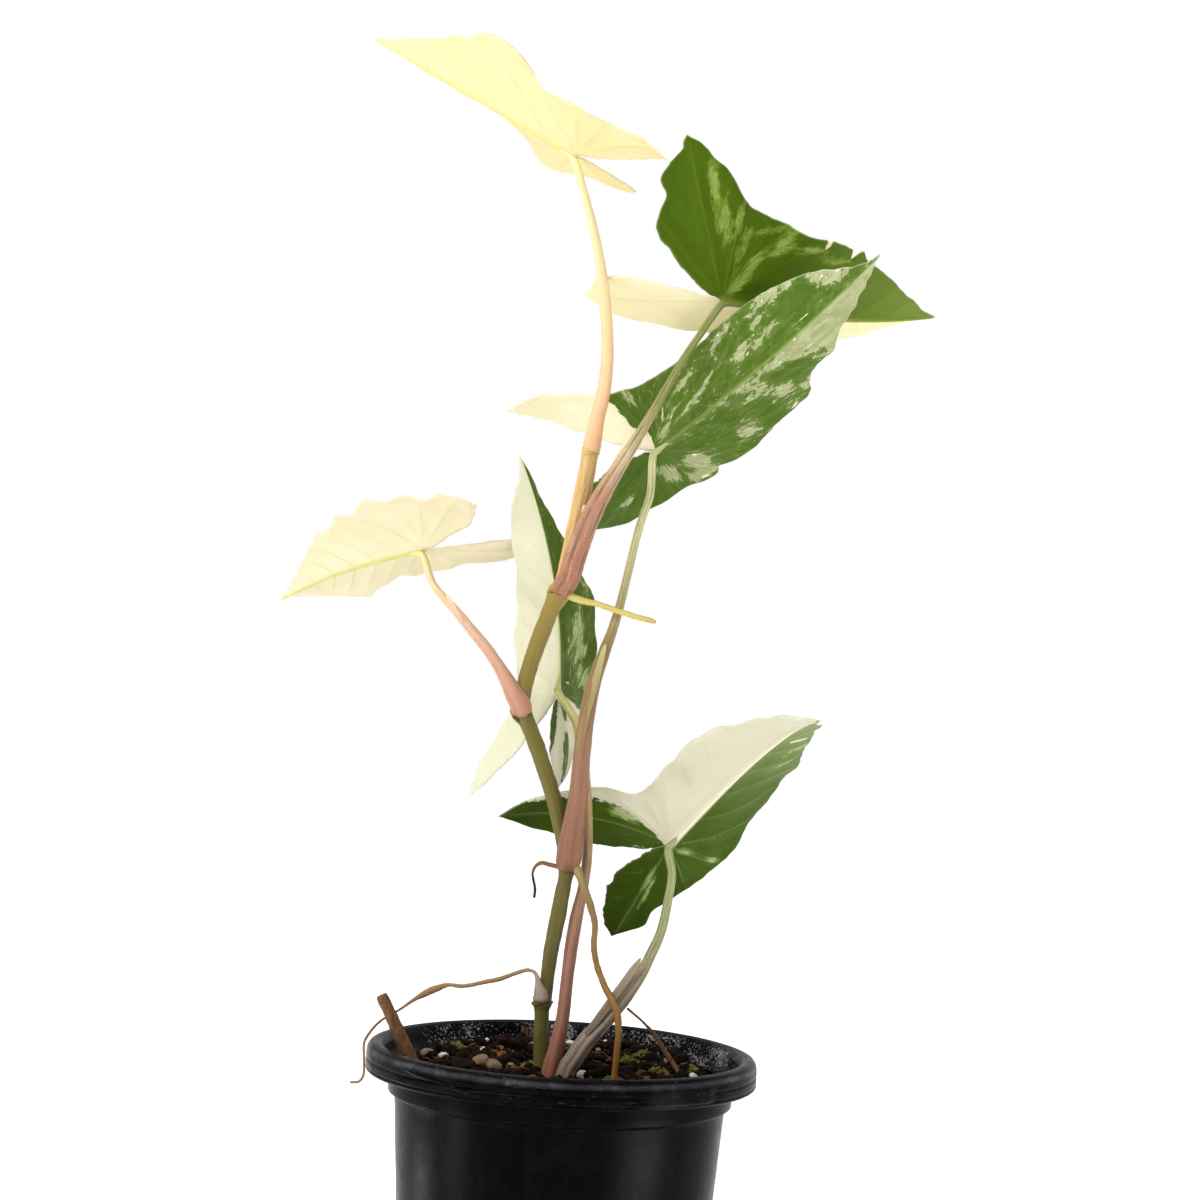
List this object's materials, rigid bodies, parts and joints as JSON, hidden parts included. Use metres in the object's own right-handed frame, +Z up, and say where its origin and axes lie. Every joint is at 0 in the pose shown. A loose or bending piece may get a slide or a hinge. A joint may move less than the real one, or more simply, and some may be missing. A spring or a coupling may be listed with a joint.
{
  "type": "arrowhead plant in nursery pot",
  "caption": "Young arrowhead plant with folded cream and green arrow-shaped leaves on a leaning stem, rooted in a round black nursery pot with a rolled lip.",
  "frame": {"origin": "middle of the flat underside of the pot", "axes": "+Z up along the pot's axis; +X to the right and -Y towards the side that shows the undersides of the leaves"},
  "size_m": [0.1851, 0.1093, 0.3619],
  "materials": {
    "pot_plastic": "satin",
    "potting_soil": "matte",
    "stem_skin": "satin",
    "petiole_skin": "satin",
    "leaf_cream": "satin",
    "leaf_green": "satin",
    "root_skin": "matte",
    "dry_fibre": "matte",
    "dead_wood": "matte"
  },
  "bodies": {
    "root": {"pot": "pot_plastic", "soil": "potting_soil", "stem": "stem_skin", "petiole_A": "petiole_skin", "petiole_B": "petiole_skin", "petiole_C": "petiole_skin", "petiole_D": "petiole_skin", "petiole_E": "petiole_skin", "petiole_F": "petiole_skin", "blade_A": "leaf_cream", "blade_B": "leaf_cream", "blade_C": "leaf_green", "blade_D": "leaf_cream", "blade_E": "leaf_cream", "blade_F": "leaf_green", "yellow_aerial_root": "root_skin", "brown_root": "root_skin", "thin_root": "root_skin", "dried_leaf_stalk": "dry_fibre", "cut_stump": "dead_wood", "dry_twig": "dead_wood"}
  },
  "joints": []
}
